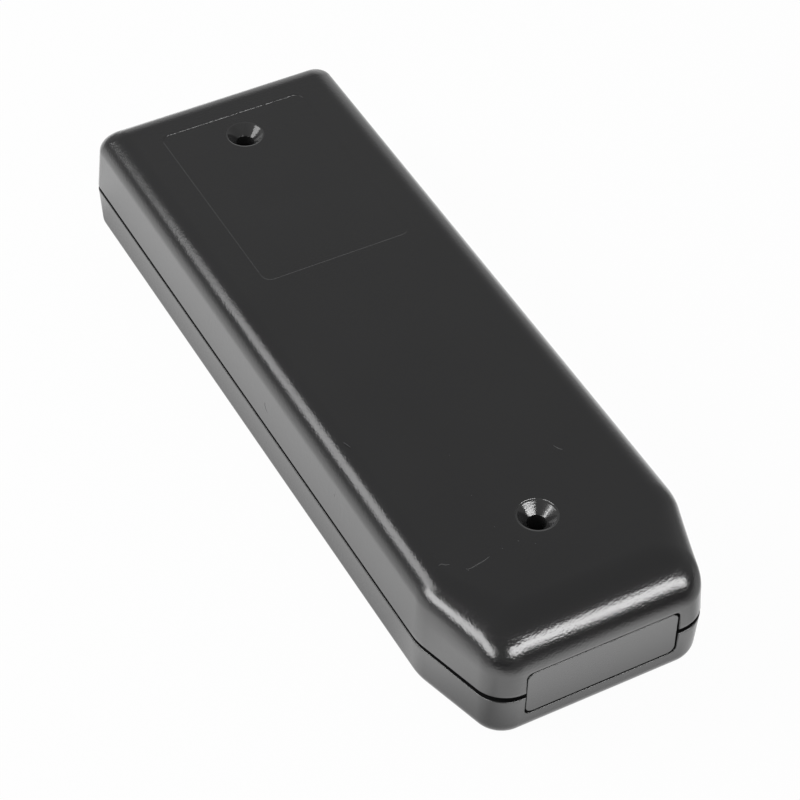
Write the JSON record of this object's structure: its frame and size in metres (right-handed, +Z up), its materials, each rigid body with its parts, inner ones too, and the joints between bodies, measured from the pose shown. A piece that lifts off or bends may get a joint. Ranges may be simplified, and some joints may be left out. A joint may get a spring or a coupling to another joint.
{
  "type": "handheld electronics enclosure",
  "caption": "Long handheld plastic enclosure in two shells with a tapered nose, a flush captured end panel, countersunk screw holes and board bosses inside.",
  "frame": {"origin": "centre of the front face that the enclosure lies on, at the middle of its width and length", "axes": "+X across the width, -Y out of the tapered nose, +Z up out of the rear face with the screw holes"},
  "size_m": [0.06, 0.176, 0.0288],
  "materials": {
    "shell_plastic": "black ABS, fine spark-eroded satin texture",
    "panel_plastic": "black ABS, fine satin texture"
  },
  "bodies": {
    "base": {"front_shell": "shell_plastic", "nose_panel": "panel_plastic"},
    "lid": {"rear_shell": "shell_plastic"}
  },
  "joints": [
    {"name": "rear_shell_lift_off", "type": "slide", "parent": "base", "child": "lid", "axis": [0, 0, 1], "range_m": [0, 0.06]}
  ]
}
